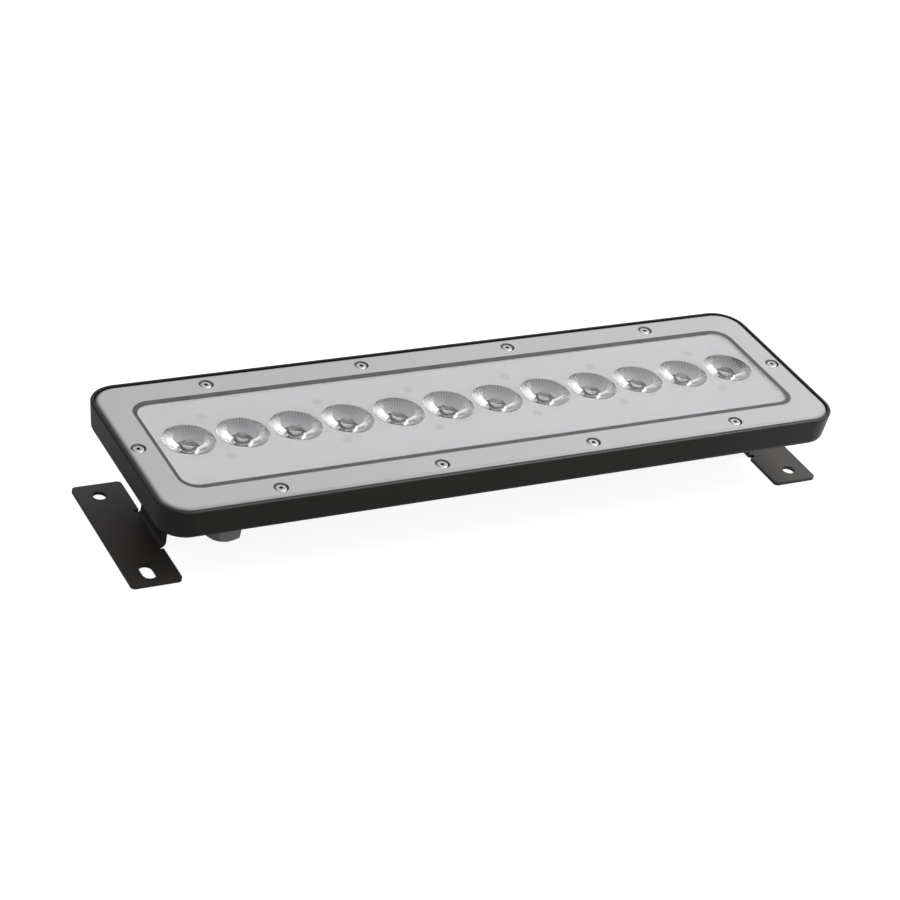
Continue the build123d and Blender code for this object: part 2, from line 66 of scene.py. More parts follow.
camera.matrix_world = (Matrix.Translation(camera_place)
                       @ Matrix((camera_right, camera_up, camera_back)).transposed().to_4x4())
bpy.context.scene.camera = camera
bpy.context.scene.view_settings.view_transform = "Standard"

# ---------------------------------------------------------------- studio
# A white sheet under the feet, soft daylight all round and a large lamp high on
# the right.  In mirrors the sheet is dim near the light and bright behind it.
# A camera under the sheet looks through it.
sheet_reach = 30.0
sheet_z = -0.0003                                     # just under the feet
sheet_tone = 0.28                                     # the share of light that the paper throws back
sheet_glow = 0.90                                     # its own light where it is seen directly
mirrored_glow = (0.05, 0.79)                          # the same in mirrors: near the light, and behind it
fade_way = (0.6, 0.8, 0)
fade_between = (0.02, 0.20)                           # where it changes, measured along fade_way
daylight_side = Vector((0.40, 0.30, 0.86)).normalized()
daylight_turn = (-0.5, 1.0)                           # cosines of the angle to that side
daylight = (0.12, 1.13)                               # the sky that lights things, at those cosines
shining_side = Vector((0.62, -0.38, 0.69)).normalized()
shining_turn = (-0.2, 1.0)
shining = (0.22, 1.6)                                 # the sky in mirrors and through clear pieces
lamp_place = Vector((0.75, -0.30, 1.25))
lamp_aim = Vector((0.05, 0, 0.05))
lamp_width = 0.9
lamp_power = 19.0

corners = [(x * sheet_reach, y * sheet_reach, sheet_z) for x, y in ((-1, -1), (1, -1), (1, 1), (-1, 1))]
sheet_mesh = bpy.data.meshes.new("studio_sheet")
sheet_mesh.from_pydata(corners, [], [(0, 1, 2, 3)])
studio_sheet = bpy.data.objects.new("studio_sheet", sheet_mesh)
bpy.context.scene.collection.objects.link(studio_sheet)


def emptied_tree(owner):
    """The shader tree of a material or a world, switched on and cleared."""
    owner.use_nodes = True
    owner.node_tree.nodes.clear()
    return owner.node_tree


def feed(tree, target, value):
    """Link an output to the input target, or set target to a number, a vector or a colour."""
    if isinstance(value, bpy.types.NodeSocket):
        tree.links.new(value, target)
    else:
        target.default_value = value


def wire(tree, *pairs):
    """Link outputs to inputs, given in pairs."""
    for source, target in pairs:
        tree.links.new(source, target)


def reckon(tree, operation, *values):
    """A math node fed by outputs or numbers; returns its output."""
    made = tree.nodes.new("ShaderNodeMath")
    made.operation = operation
    for target, value in zip(made.inputs, values):
        feed(tree, target, value)
    return made.outputs[0]


def reckon_vector(tree, operation, *values):
    """The same for vectors; returns the number where the operation gives one, and else the vector."""
    made = tree.nodes.new("ShaderNodeVectorMath")
    made.operation = operation
    for target, value in zip(made.inputs, values):
        feed(tree, target, value)
    return made.outputs["Value" if operation in ("DOT_PRODUCT", "LENGTH") else "Vector"]


def ramp(tree, value, start, end, low=0.0, high=1.0, easing="SMOOTHSTEP"):
    """Low where value is at start, high where it is at end, eased between and level beyond."""
    made = tree.nodes.new("ShaderNodeMapRange")
    made.interpolation_type = easing
    for name, given in (("Value", value), ("From Min", start), ("From Max", end),
                        ("To Min", low), ("To Max", high)):
        feed(tree, made.inputs[name], given)
    return made.outputs[0]


def mix_numbers(tree, share, first, second):
    """The first number where share is nought and the second where it is one."""
    made = tree.nodes.new("ShaderNodeMix")
    for target, value in zip((made.inputs["Factor"], *made.inputs[2:4]), (share, first, second)):
        feed(tree, target, value)
    return made.outputs[0]


def seen_directly(tree):
    """One where a ray comes from the camera, a mirror or through glass, and nought elsewhere."""
    path = tree.nodes.new("ShaderNodeLightPath").outputs
    straight = reckon(tree, "MAXIMUM", path["Is Camera Ray"], path["Is Glossy Ray"])
    return reckon(tree, "MAXIMUM", straight, path["Is Transmission Ray"])


sheet_paper = bpy.data.materials.new("sheet_paper")
tree = emptied_tree(sheet_paper)
path = tree.nodes.new("ShaderNodeLightPath").outputs
place = tree.nodes.new("ShaderNodeTexCoord").outputs["Object"]
facing = tree.nodes.new("ShaderNodeNewGeometry").outputs
behind = reckon_vector(tree, "DOT_PRODUCT", place, fade_way)
in_mirrors = ramp(tree, behind, *fade_between, *mirrored_glow, easing="LINEAR")
outright = reckon(tree, "MULTIPLY", seen_directly(tree), sheet_glow)
glow = mix_numbers(tree, path["Is Glossy Ray"], outright, in_mirrors)
from_below = reckon(tree, "MULTIPLY", facing["Backfacing"], path["Is Camera Ray"])
paper = tree.nodes.new("ShaderNodeBsdfDiffuse")
paper.inputs["Color"].default_value = (sheet_tone, sheet_tone, sheet_tone, 1)
own_light = tree.nodes.new("ShaderNodeEmission")
own_light.inputs["Color"].default_value = (1, 1, 1, 1)
lit = tree.nodes.new("ShaderNodeAddShader")
see_through = tree.nodes.new("ShaderNodeBsdfTransparent")
one_way = tree.nodes.new("ShaderNodeMixShader")
sheet_out = tree.nodes.new("ShaderNodeOutputMaterial")
wire(tree, (glow, own_light.inputs["Strength"]), (paper.outputs[0], lit.inputs[0]),
     (own_light.outputs[0], lit.inputs[1]), (from_below, one_way.inputs[0]),
     (lit.outputs[0], one_way.inputs[1]), (see_through.outputs[0], one_way.inputs[2]),
     (one_way.outputs[0], sheet_out.inputs["Surface"]))
sheet_mesh.materials.append(sheet_paper)

world = bpy.data.worlds.new("daylight")
bpy.context.scene.world = world
tree = emptied_tree(world)
path = tree.nodes.new("ShaderNodeLightPath").outputs
bearing = tree.nodes.new("ShaderNodeTexCoord").outputs["Generated"]
lighting = ramp(tree, reckon_vector(tree, "DOT_PRODUCT", bearing, daylight_side), *daylight_turn, *daylight)
mirrored = ramp(tree, reckon_vector(tree, "DOT_PRODUCT", bearing, shining_side), *shining_turn, *shining)
sky_light = mix_numbers(tree, seen_directly(tree), lighting, mirrored)
background = reckon(tree, "MAXIMUM", sky_light, path["Is Camera Ray"])      # plain white behind the light
sky = tree.nodes.new("ShaderNodeBackground")
sky.inputs["Color"].default_value = (1, 1, 1, 1)
world_out = tree.nodes.new("ShaderNodeOutputWorld")
wire(tree, (background, sky.inputs["Strength"]), (sky.outputs[0], world_out.inputs["Surface"]))

lamp_data = bpy.data.lights.new("soft_lamp", "AREA")
lamp_data.shape = "DISK"
lamp_data.size = lamp_width
lamp_data.energy = lamp_power
lamp = bpy.data.objects.new("soft_lamp", lamp_data)
lamp.location = lamp_place
lamp.rotation_euler = (lamp_aim - lamp_place).to_track_quat("-Z", "Y").to_euler()
lamp.visible_transmission = False
bpy.context.scene.collection.objects.link(lamp)

# ---------------------------------------------------------------- cast tray
# The housing is one pressure casting in aluminium.  It is shot blasted and
# baked with a fine-grained black polyester powder, a touch warm in tone.


def new_finish(name, roughness, specular):
    """A material with one principled shader and a coordinate node: (material, tree, shader, coordinates)."""
    material = bpy.data.materials.new(name)
    material.use_nodes = True
    shader = material.node_tree.nodes["Principled BSDF"]
    shader.inputs["Roughness"].default_value = roughness
    shader.inputs["Specular IOR Level"].default_value = specular
    place = material.node_tree.nodes.new("ShaderNodeTexCoord")
    return material, material.node_tree, shader, place.outputs["Object"]


def dress(material, *names):
    """Give CAD nodes a finish in every material slot they have."""
    for name in names:
        for slot in nodes[name].material_slots:
            slot.material = material


def noise(tree, place, scale, detail):
    """Cloudy noise over the piece, from nought to one; returns the output."""
    made = tree.nodes.new("ShaderNodeTexNoise")
    for name, value in (("Vector", place), ("Scale", scale), ("Detail", detail)):
        feed(tree, made.inputs[name], value)
    return made.outputs["Fac"]


def mix_colours(tree, share, first, second, blend="MIX"):
    """The first colour where share is nought, and its blend with the second where share is one."""
    made = tree.nodes.new("ShaderNodeMix")
    made.data_type = "RGBA"
    made.blend_type = blend
    for target, value in zip((made.inputs["Factor"], *made.inputs[6:8]), (share, first, second)):
        feed(tree, target, value)
    return made.outputs[2]


def relief(tree, height, depth, strength=1.0):
    """Hills as high as depth where height is one, felt by light alone; returns their normal."""
    made = tree.nodes.new("ShaderNodeBump")
    for name, value in (("Height", height), ("Distance", depth), ("Strength", strength)):
        feed(tree, made.inputs[name], value)
    return made.outputs["Normal"]


def group_sockets(group, inputs, outputs):
    """Add a node group's named inputs (name, kind, value) and outputs (name, kind)."""
    for name, kind, value in inputs:
        socket = group.interface.new_socket(name, in_out="INPUT", socket_type=kind)
        socket.default_value = value
    for name, kind in outputs:
        group.interface.new_socket(name, in_out="OUTPUT", socket_type=kind)
    return group.nodes.new("NodeGroupInput"), group.nodes.new("NodeGroupOutput")


def make_grain_group():
    """Pin-head grain and a soft cloud; their sum sets colour and roughness, the grain alone the relief."""
    grain_share, cloud_share = 0.55, 0.45
    group = bpy.data.node_groups.new("fine_grain", "ShaderNodeTree")
    taken, given = group_sockets(group, [
        ("Place", "NodeSocketVector", (0, 0, 0)), ("Low Tone", "NodeSocketColor", (0, 0, 0, 1)),
        ("High Tone", "NodeSocketColor", (1, 1, 1, 1)), ("Grain Scale", "NodeSocketFloat", 1800.0),
        ("Rough Low", "NodeSocketFloat", 0.4), ("Rough High", "NodeSocketFloat", 0.6)],
        [("Color", "NodeSocketColor"), ("Roughness", "NodeSocketFloat"), ("Height", "NodeSocketFloat")])
    grain = noise(group, taken.outputs["Place"], taken.outputs["Grain Scale"], detail=3.0)
    cloud = noise(group, taken.outputs["Place"], scale=14.0, detail=4.0)
    clouding = reckon(group, "MULTIPLY", cloud, cloud_share)
    tone = reckon(group, "MULTIPLY_ADD", grain, grain_share, clouding)
    colour = mix_colours(group, tone, taken.outputs["Low Tone"], taken.outputs["High Tone"])
    rough = ramp(group, tone, 0.0, 1.0, taken.outputs["Rough Low"], taken.outputs["Rough High"], "LINEAR")
    wire(group, (colour, given.inputs["Color"]), (rough, given.inputs["Roughness"]),
         (grain, given.inputs["Height"]))
    return group


grain_group = make_grain_group()


def grained_finish(name, low, high, rough, grain_scale, grain_depth, specular):
    """Powder coat, and other finely grained skins: tones from low to high, roughness within rough."""
    material, tree, shader, place = new_finish(name, rough[0], specular)
    grain = tree.nodes.new("ShaderNodeGroup")
    grain.node_tree = grain_group
    for socket, value in (("Place", place), ("Low Tone", (*low, 1)), ("High Tone", (*high, 1)),
                          ("Grain Scale", grain_scale), ("Rough Low", rough[0]), ("Rough High", rough[1])):
        feed(tree, grain.inputs[socket], value)
    wire(tree, (grain.outputs["Color"], shader.inputs["Base Color"]),
         (grain.outputs["Roughness"], shader.inputs["Roughness"]),
         (relief(tree, grain.outputs["Height"], grain_depth, strength=0.6), shader.inputs["Normal"]))
    return material


black_coating = grained_finish("black_coating", low=(0.0055, 0.0050, 0.0040), high=(0.0130, 0.0120, 0.0100),
                               rough=(0.34, 0.46), grain_scale=1500.0, grain_depth=0.00005, specular=0.30)
dress(black_coating, "housing")

# ---------------------------------------------------------------- cover frame
# A flat ring cut from sheet aluminium.  It is coated in light grey with a
# satin, very fine grain, and drops into the pocket of the tray.
frame_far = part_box("cover_frame")[1]
frame_corner = 0.0182                                 # radius of the outline's corners
shaded_edge_width = 0.0038                                   # width of the painted shade along the rolled edge
shade_depth_start, shade_depth_end = 0.0004, 0.0016                 # depths below the top over which painted shade deepens, in the screw holes and on the rolled edge
painted_shade_tone = (0.36, 0.36, 0.37, 1)


def reopen(material):
    """A finish to be added to: (tree, shader, coordinates, present base colour)."""
    tree = material.node_tree
    shader = tree.nodes["Principled BSDF"]
    place = tree.nodes["Texture Coordinate"].outputs["Object"]
    return tree, shader, place, shader.inputs["Base Color"].links[0].from_socket


def split(tree, vector):
    """The outputs X, Y and Z of a vector."""
    made = tree.nodes.new("ShaderNodeSeparateXYZ")
    tree.links.new(vector, made.inputs[0])
    return made.outputs


grey_cover = grained_finish("grey_cover", low=(0.281, 0.277, 0.282), high=(0.345, 0.341, 0.346),
                            rough=(0.34, 0.46), grain_scale=2400.0, grain_depth=0.00003, specular=0.5)
tree, shader, place, coat = reopen(grey_cover)
quarter = reckon_vector(tree, "ABSOLUTE", place)      # one quarter of the frame stands for all four
past_core = reckon_vector(tree, "SUBTRACT", quarter,
                          (frame_far.x - frame_corner, frame_far.y - frame_corner, 1))
from_core = reckon_vector(tree, "LENGTH", reckon_vector(tree, "MAXIMUM", past_core, (0, 0, 0)))
# painted shade: the coat darkens towards the outline, and below the top in the counterbores and on the rolled
# edge
painted_edge_shade = ramp(tree, from_core, frame_corner - shaded_edge_width, frame_corner)
painted_bore_shade = ramp(tree, split(tree, quarter)["Z"], frame_far.z - shade_depth_start, frame_far.z - shade_depth_end,
                  easing="LINEAR")
shade = reckon(tree, "MAXIMUM", painted_edge_shade, painted_bore_shade)
wire(tree, (mix_colours(tree, shade, coat, painted_shade_tone, "MULTIPLY"), shader.inputs["Base Color"]))
dress(grey_cover, "cover_frame")

# ---------------------------------------------------------------- cover screws
# Ten stainless button-head screws with a hexagon socket, turned down into the
# counterbores of the frame.  Painted shade darkens the sockets and the heads' sides.
head_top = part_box("cover_screws_front")[1].z
socket_shade_start, socket_shade_end = 0.0007, 0.0013               # depths under the head's top
socket_shade_tone = (0.04, 0.04, 0.04, 1)


def two_tones(tree, value, low, high, start=0.0, end=1.0):
    """The colour low up to start, high from end on, and even steps between; returns the output."""
    made = tree.nodes.new("ShaderNodeValToRGB")
    for stop, position, colour in zip(made.color_ramp.elements, (start, end), (low, high)):
        stop.position = position
        stop.color = (*colour, 1)
    tree.links.new(value, made.inputs["Fac"])
    return made.outputs["Color"]


stainless, tree, shader, place = new_finish("stainless", roughness=0.30, specular=0.5)
shader.inputs["Metallic"].default_value = 1.0
turning = noise(tree, place, scale=900.0, detail=2.0)
steel = two_tones(tree, turning, low=(0.42, 0.42, 0.43), high=(0.66, 0.66, 0.66))
wire(tree, (steel, shader.inputs["Base Color"]),
     (relief(tree, turning, depth=0.00002, strength=0.5), shader.inputs["Normal"]))
dress(stainless, "earth_screw", "earth_washer")

sunk_screw = stainless.copy()
sunk_screw.name = "sunk_screw"
tree, shader, place, steel = reopen(sunk_screw)
# painted shade: the steel turns dark below the head's top, in the socket and round the head
unshaded = ramp(tree, split(tree, place)["Z"], head_top - socket_shade_end, head_top - socket_shade_start, easing="LINEAR")
wire(tree, (mix_colours(tree, unshaded, socket_shade_tone, steel), shader.inputs["Base Color"]))
dress(sunk_screw, "cover_screws_front", "cover_screws_back", "cover_screw_left", "cover_screw_right")

# ---------------------------------------------------------------- seals
# Two silicone rings: the window seal, whose lip shows as the dark band round
# the window, and the flat seal between the lens plate's flange and the tray.


def moulded_rubber(name, low, high, specular):
    """Dull rubber: a slow cloud of tone with a faint bloom, and a skin as fine as leather."""
    material, tree, shader, place = new_finish(name, roughness=0.6, specular=specular)
    bloom = noise(tree, place, scale=60.0, detail=6.0)
    skin = tree.nodes.new("ShaderNodeTexVoronoi")
    skin.inputs["Scale"].default_value = 1600.0
    wire(tree, (place, skin.inputs["Vector"]),
         (two_tones(tree, bloom, low, high, start=0.3, end=0.7), shader.inputs["Base Color"]),
         (relief(tree, skin.outputs["Distance"], depth=0.00003), shader.inputs["Normal"]))
    return material


dark_rubber = moulded_rubber("dark_rubber", low=(0.052, 0.049, 0.052), high=(0.076, 0.072, 0.076),
                             specular=0.28)
dress(dark_rubber, "window_seal", "tray_seal")

# ---------------------------------------------------------------- lens plate
# One injection moulding in clear acrylic: a flat cover with a skirt and a
# flange, and twelve horn-shaped lenses under it.  The horns' flanks are
# ribbed so that they mix the light, and the underside between them is etched.
plate_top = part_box("lens_plate")[1].z
led_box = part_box("led_packages")
led_width = 0.0035                                    # one LED's, along the row
row_y = (led_box[0].y + led_box[1].y) / 2
lens_count = 12
lens_pitch = (led_box[1].x - led_box[0].x - led_width) / (lens_count - 1)
lens_margin = 0.0013                                  # from a lens's rim to half way to the next
lens_radius = lens_pitch / 2 - lens_margin
plate_thickness = 0.003
under_z = plate_top - plate_thickness
lens_depth = 0.0153                                   # from the plate's top to the lens's foot
foot_z = plate_top - lens_depth
foot_radius = 0.0056
recess_radius = 0.0046
recess_depth = 0.0071                                 # the recess in the foot goes over the LED
recess_top = foot_z + recess_depth
recess_bulge = 0.0008                                 # how far its roof curves down in the middle
recess_step = 0.003                                   # under the roof its wall is upright over this height
recess_draft = 0.00006                                # and is this much wider at the foot
bulge_rows = 5
flank_rows = 15
waist_share = 0.765                                   # the flank's radius half way up, of the rim's
rib_count = 48
rib_foot_depth = 0.00010                              # of the ribs, beside the foot
rib_growth = 0.00016                                  # how much deeper the ribs are at the rim
window_half = (0.2254, 0.0458)                        # half of the plate's length and width in the window
window_corner = 0.0105
top_bevel = 0.0003
skirt = 0.0025
hair_gap = 0.00003                                    # keeps skirt and pillars off the plate's own faces
skirt_top = under_z - hair_gap
flange_half = (0.2325, 0.0545)
flange_corner = 0.018
flange_depths = (0.0057, 0.0082)                      # of its top and its underside, below the plate's top
flange_top, flange_under = plate_top - flange_depths[0], plate_top - flange_depths[1]
board_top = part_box("led_board")[1].z
pillar_stations = (1.0, 2.81, 5.0)                    # to both sides of the middle, in lens pitches
pillar_offset = 0.023
pillar_radius = 0.0035
pillar_sides = 24
full_turn = 2 * np.pi
straight_edges = 4 * 48                               # the edges that a rounded outline is worked out from
tiny = 1e-9                                           # below this a length or a slope counts as nought
nudge = 1e-6                                          # keeps a whole count of ribs from rounding down
digits = 9                                            # in which angles that differ by rounding are the same


def arc_through(a, b, c, t):
    """Points at shares t of the way along the circle through a, b and c.

    The centre is where the middle lines of a-b and b-c cross; t runs over the angle from a to c.
    """
    a, b, c = (np.asarray(p, float) for p in (a, b, c))
    sides = np.array([b - a, c - b])
    centre = np.linalg.solve(sides, (sides * np.array([(a + b) / 2, (b + c) / 2])).sum(1))
    angles = np.unwrap(np.arctan2(*(np.array([a, b, c]) - centre).T[::-1]))
    turn = angles[0] + (angles[2] - angles[0]) * t
    return centre + np.hypot(*(a - centre)) * np.stack([np.cos(turn), np.sin(turn)], -1)


def rounded_outline(angles, origin, half, corner):
    """Where rays from origin at these angles leave a box of half sizes half with round corners.

    The box is cut from the plane by many straight edges that touch it; each ray ends at the
    nearest edge in front of it: t = (reach of edge - normal . origin) / (normal . direction).
    """
    turn = np.linspace(0, full_turn, straight_edges, endpoint=False)
    normal = np.stack([np.cos(turn), np.sin(turn)], -1)
    reach = np.abs(normal) @ (np.array(half) - corner) + corner
    direction = np.stack([np.cos(angles), np.sin(angles)], -1)
    slope = direction @ normal.T
    run = np.where(slope > tiny, (reach - normal @ origin) / np.maximum(slope, tiny), np.inf).min(1)
    return origin + direction * run[:, None]


def grid_faces(rows, columns, first=0):
    """Four-sided faces between neighbouring rows of a grid, whose columns close on themselves."""
    row = np.arange(rows - 1)[:, None]
    column = np.arange(columns)[None, :]
    after = (column + 1) % columns
    corners = (row * columns + column, row * columns + after,
               (row + 1) * columns + after, (row + 1) * columns + column)
    return np.stack([np.broadcast_to(c, (rows - 1, columns)) for c in corners], -1).reshape(-1, 4) + first


# one lens as rows of (radius, height) from the middle of the recess out to the rim
share = np.linspace(0, 1, bulge_rows + 1)[1:]
bulge = np.stack([recess_radius * share, recess_top - recess_bulge * (1 - share ** 2)], -1)
wall = np.array([[recess_radius, recess_top - recess_step], [recess_radius + recess_draft, foot_z]])
foot = np.array([[foot_radius, foot_z]])
flank_share = np.linspace(0, 1, flank_rows + 1)[1:]
flank = arc_through((foot_radius, foot_z), (lens_radius * waist_share, (foot_z + under_z) / 2),
                    (lens_radius, under_z), flank_share)
profile = np.vstack([bulge, wall, foot, flank])
flank_row = len(profile) - len(flank)
rib_depth = np.zeros(len(profile))
rib_depth[flank_row:] = rib_foot_depth + rib_growth * flank_share
rib_depth[-1] = 0


def lens_angles():
    """Two angles for each rib, and the four at which the corners of the lens's strip of plate lie."""
    steps = np.arange(2 * rib_count) * full_turn / (2 * rib_count)
    cell_y = np.array([-window_half[1], window_half[1]]) - row_y
    corner_angles = np.arctan2(np.repeat(cell_y, 2), np.tile([lens_pitch / 2, -lens_pitch / 2], 2))
    return np.unique(np.round(np.r_[steps, corner_angles % full_turn], digits))


def cell_edge(angles, middle, first, last):
    """Where rays from a lens's middle leave its strip of plate, and which of them a neighbour cuts short.

    A ray runs to the window's outline, or only until it is half a pitch aside.  The first lens has
    no neighbour on its left and the last has none on its right, so there it runs on to the outline.
    """
    edge = rounded_outline(angles, middle, window_half, window_corner)
    aside = edge[:, 0] - middle[0]
    free_end = (first & (aside < 0)) | (last & (aside > 0))
    cut = (np.abs(aside) > lens_pitch / 2 + tiny) & ~free_end
    scale = np.where(cut, (lens_pitch / 2) / np.maximum(np.abs(aside), tiny), 1)
    return middle + (edge - middle) * scale[:, None], cut


def lens_rows(angles, middle, edge, rib):
    """Rows of points of one lens and the flat plate round it, over rows of the profile and angles.

    A point is middle + (radius of the row - rib depth of the row * rib) * (cos, sin) of its angle,
    at the row's height; two more rows go half way, and all the way, from the rim to the edge.
    """
    radius = profile[:, :1] - rib_depth[:, None] * rib
    horn = np.stack([middle[0] + radius * np.cos(angles), middle[1] + radius * np.sin(angles),
                     np.broadcast_to(profile[:, 1:], radius.shape)], -1)
    rim = horn[-1, :, :2]
    flat = rim + (edge - rim) * np.array([0.5, 1.0])[:, None, None]
    flat = np.concatenate([flat, np.full((*flat.shape[:2], 1), under_z)], -1)
    return np.concatenate([horn, flat])


# every part of the plate is (points, four-sided faces, three-sided faces), counted from nought
no_tris = np.zeros((0, 3), int)
parts = []
plate_rings = []
flutes = []
angles = lens_angles()
rib = np.abs(((angles * rib_count / full_turn + nudge) % 1) * 2 - 1)    # one and nought in turn
first_ring = 1 + np.arange(len(angles))
fan = np.stack([np.zeros_like(first_ring), np.roll(first_ring, -1), first_ring], -1)
for i in range(lens_count):
    middle = np.array([(i - (lens_count - 1) / 2) * lens_pitch, row_y])
    edge, cut = cell_edge(angles, middle, i == 0, i == lens_count - 1)
    rows = lens_rows(angles, middle, edge, rib)
    points = np.vstack([[*middle, recess_top - recess_bulge], rows.reshape(-1, 3)])
    parts.append((points, grid_faces(len(rows), len(angles), 1)[:, ::-1], fan))
    on_flank = np.arange(len(rows))[:, None] >= flank_row
    flutes.append(np.r_[0, np.where(on_flank, rib, 0).ravel()])
    plate_rings.append(rows[-1][~cut])

# the plate's edge and top follow the outline that the cells leave, once round
ring = np.unique(np.round(np.vstack(plate_rings)[:, :2], digits - 2), axis=0)
core_half = np.array(window_half) - window_corner
core = np.clip(ring, -core_half, core_half)
outward = ring - core
outward /= np.hypot(*outward.T)[:, None]
order = np.argsort(np.arctan2(ring[:, 1] / window_half[1], ring[:, 0] / window_half[0]))
ring, core, outward = ring[order], core[order], outward[order]


def outline_at(half, corner, inset, z):
    """The ring moved to another rounded box: its core point is scaled, then set out along the normal."""
    place = core * (np.array(half) - corner) / core_half + outward * (corner - inset)
    return np.column_stack([place, np.full(len(place), z)])


edge_rings = [outline_at(window_half, window_corner, 0, under_z),
              outline_at(window_half, window_corner, 0, plate_top - top_bevel),
              outline_at(window_half, window_corner, top_bevel, plate_top)]
top_ring = (len(edge_rings) - 1) * len(ring) + np.arange(len(ring))
top_middle = np.full(len(ring), len(edge_rings) * len(ring))
parts.append((np.vstack([*edge_rings, [0, 0, plate_top]]), grid_faces(len(edge_rings), len(ring))[:, ::-1],
              np.stack([top_middle, top_ring, np.roll(top_ring, -1)], -1)))

# the skirt and the flange under the plate's edge, as one closed ring
skirt_rings = [outline_at(window_half, window_corner, skirt, skirt_top),
               outline_at(window_half, window_corner, skirt, flange_under),
               outline_at(flange_half, flange_corner, 0, flange_under),
               outline_at(flange_half, flange_corner, 0, flange_top),
               outline_at(window_half, window_corner, 0, flange_top),
               outline_at(window_half, window_corner, 0, skirt_top),
               outline_at(window_half, window_corner, skirt, skirt_top)]
parts.append((np.vstack(skirt_rings), grid_faces(len(skirt_rings), len(ring)), no_tris))

# twelve pillars from the board up to the plate, each a closed upright bar
turn = np.arange(pillar_sides) * full_turn / pillar_sides
round_bar = np.array([[0, board_top], [pillar_radius, board_top], [pillar_radius, skirt_top], [0, skirt_top]])
for x in np.outer([-1, 1], pillar_stations).ravel() * lens_pitch:
    for y in (row_y - pillar_offset, row_y + pillar_offset):
        bar = np.stack([x + round_bar[:, :1] * np.cos(turn), y + round_bar[:, :1] * np.sin(turn),
                        np.broadcast_to(round_bar[:, 1:], (len(round_bar), pillar_sides))], -1)
        parts.append((bar.reshape(-1, 3), grid_faces(len(round_bar), pillar_sides), no_tris))


def surface(name, parts):
    """A mesh object of parts (points, four-sided faces, three-sided faces); each counts from nought."""
    verts = np.concatenate([part[0] for part in parts])
    before = np.cumsum([0] + [len(part[0]) for part in parts])
    quads, tris = (np.concatenate([part[kind] + start for part, start in zip(parts, before)])
                   for kind in (1, 2))
    mesh = bpy.data.meshes.new(name)
    mesh.vertices.add(len(verts))
    mesh.vertices.foreach_set("co", verts.astype(np.float32).ravel())
    loops = np.concatenate([quads.ravel(), tris.ravel()]).astype(np.int32)
    starts = np.concatenate([np.arange(len(quads)) * 4, len(quads) * 4 + np.arange(len(tris)) * 3])
    mesh.loops.add(len(loops))
    mesh.loops.foreach_set("vertex_index", loops)
    mesh.polygons.add(len(starts))
    mesh.polygons.foreach_set("loop_start", starts.astype(np.int32))
    mesh.update(calc_edges=True)
    mesh.validate()
    made = bpy.data.objects.new(name, mesh)
    bpy.context.scene.collection.objects.link(made)
    return made


def weld(made, reach, sharp):
    """Merge points closer than reach, turn all faces outward, then shade smooth up to the angle sharp."""
    work = bmesh.new()
    work.from_mesh(made.data)
    bmesh.ops.remove_doubles(work, verts=work.verts, dist=reach)
    bmesh.ops.recalc_face_normals(work, faces=work.faces)
    work.to_mesh(made.data)
    work.free()
    made.data.shade_smooth()
    made.data.set_sharp_from_angle(angle=np.radians(sharp))


moulding = surface("lens_moulding", parts)
flute = moulding.data.attributes.new("flute", "FLOAT", "POINT")
flute_values = np.zeros(len(moulding.data.vertices), np.float32)
flute_values[:sum(map(len, flutes))] = np.concatenate(flutes)
flute.data.foreach_set("value", flute_values)
weld(moulding, reach=2e-6, sharp=20)

rib_shade_tone = (0.55, 0.55, 0.56)                      # painted shade in the ribs' valleys, on the clear plastic
clear_plate, tree, shader, place = new_finish("clear_plate", roughness=0.03, specular=0.5)
shader.inputs["IOR"].default_value = 1.49
shader.inputs["Transmission Weight"].default_value = 1.0
groove = tree.nodes.new("ShaderNodeAttribute")
groove.attribute_name = "flute"
flow = noise(tree, place, scale=45.0, detail=3.0)
acrylic = two_tones(tree, flow, low=(0.955, 0.965, 0.97), high=(0.985, 0.99, 0.99))
# painted shade: the ribs' valleys are darker in colour, so the flanks show stripes
painted_rib_shade = two_tones(tree, groove.outputs["Fac"], low=(1, 1, 1), high=rib_shade_tone)
wire(tree, (mix_colours(tree, 1.0, acrylic, painted_rib_shade, "MULTIPLY"), shader.inputs["Base Color"]))
moulding.data.materials.append(clear_plate)

pillar_shade_core, pillar_shade_rim = 0.0018, 0.0050                  # radii of the painted soft shade over the pillars, in the etching
pillar_shade_tone = (0.86, 0.86, 0.86, 1)
etched_under, tree, shader, place = new_finish("etched_under", roughness=0.55, specular=0.3)
shader.inputs["Transmission Weight"].default_value = 0.10
frost = noise(tree, place, scale=700.0, detail=3.0)
etching = two_tones(tree, frost, low=(0.745, 0.738, 0.752), high=(0.807, 0.800, 0.814))


def distance(tree, aside, across):
    """The root of aside squared plus across squared."""
    squares = [reckon(tree, "MULTIPLY", leg, leg) for leg in (aside, across)]
    return reckon(tree, "SQRT", reckon(tree, "ADD", *squares))


from_middle = split(tree, place)
from_row = reckon(tree, "ABSOLUTE", reckon(tree, "SUBTRACT", from_middle["Y"], row_y))
across = reckon(tree, "SUBTRACT", from_row, pillar_offset)
along = reckon(tree, "ABSOLUTE", from_middle["X"])
nearest = None
for station in pillar_stations:
    away = distance(tree, reckon(tree, "SUBTRACT", along, station * lens_pitch), across)
    nearest = away if nearest is None else reckon(tree, "MINIMUM", nearest, away)
# painted shade: a soft darker spot over each pillar
pillar_shade = ramp(tree, nearest, pillar_shade_rim, pillar_shade_core)
wire(tree, (mix_colours(tree, pillar_shade, etching, pillar_shade_tone, "MULTIPLY"), shader.inputs["Base Color"]))
moulding.data.materials.append(etched_under)

